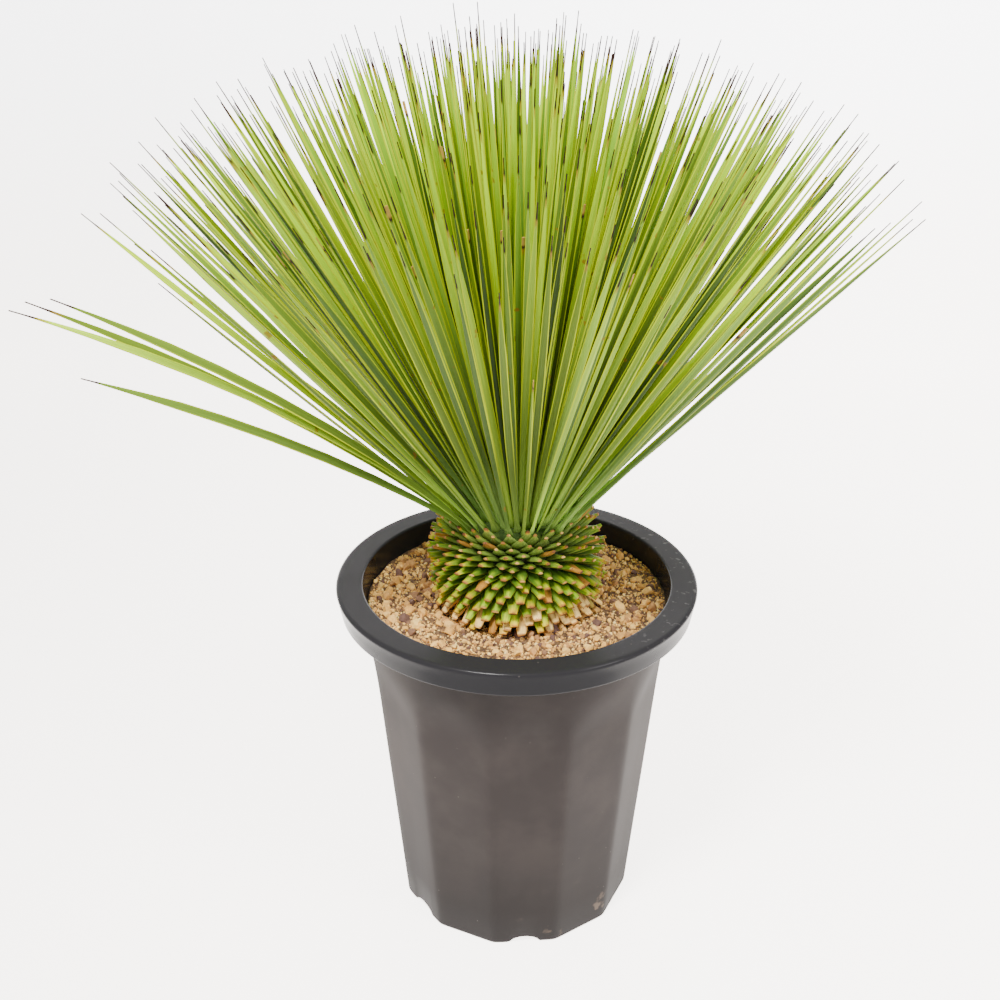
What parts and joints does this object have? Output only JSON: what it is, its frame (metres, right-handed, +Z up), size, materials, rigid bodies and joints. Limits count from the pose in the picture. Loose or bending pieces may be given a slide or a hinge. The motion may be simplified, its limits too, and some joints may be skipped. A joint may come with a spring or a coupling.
{
  "type": "potted yucca",
  "caption": "Yucca with a round head of narrow pointed leaves on a short trunk of trimmed leaf bases, in granular soil in a deep faceted nursery pot.",
  "frame": {"origin": "centre of the pot's foot, on the surface that it stands on", "axes": "+Z up along the pot and the trunk, -Y towards the front, +X to the right seen from the front"},
  "size_m": [0.6508, 0.5768, 0.8325],
  "materials": {
    "pot_plastic": "dark charcoal moulded plastic, half gloss, dusty and lightly scratched",
    "soil_grains": "loose grains of tan, cream and brown pumice and fired clay",
    "leaf_bases": "trimmed leaf bases, green with cream cut ends, dry and tan at the soil",
    "leaves": "smooth fibrous leaf, green with thin yellow margins and dry brown points"
  },
  "bodies": {
    "root": {"pot": "pot_plastic", "soil": "soil_grains", "trunk": "leaf_bases", "leaf_head": "leaves"}
  },
  "joints": []
}
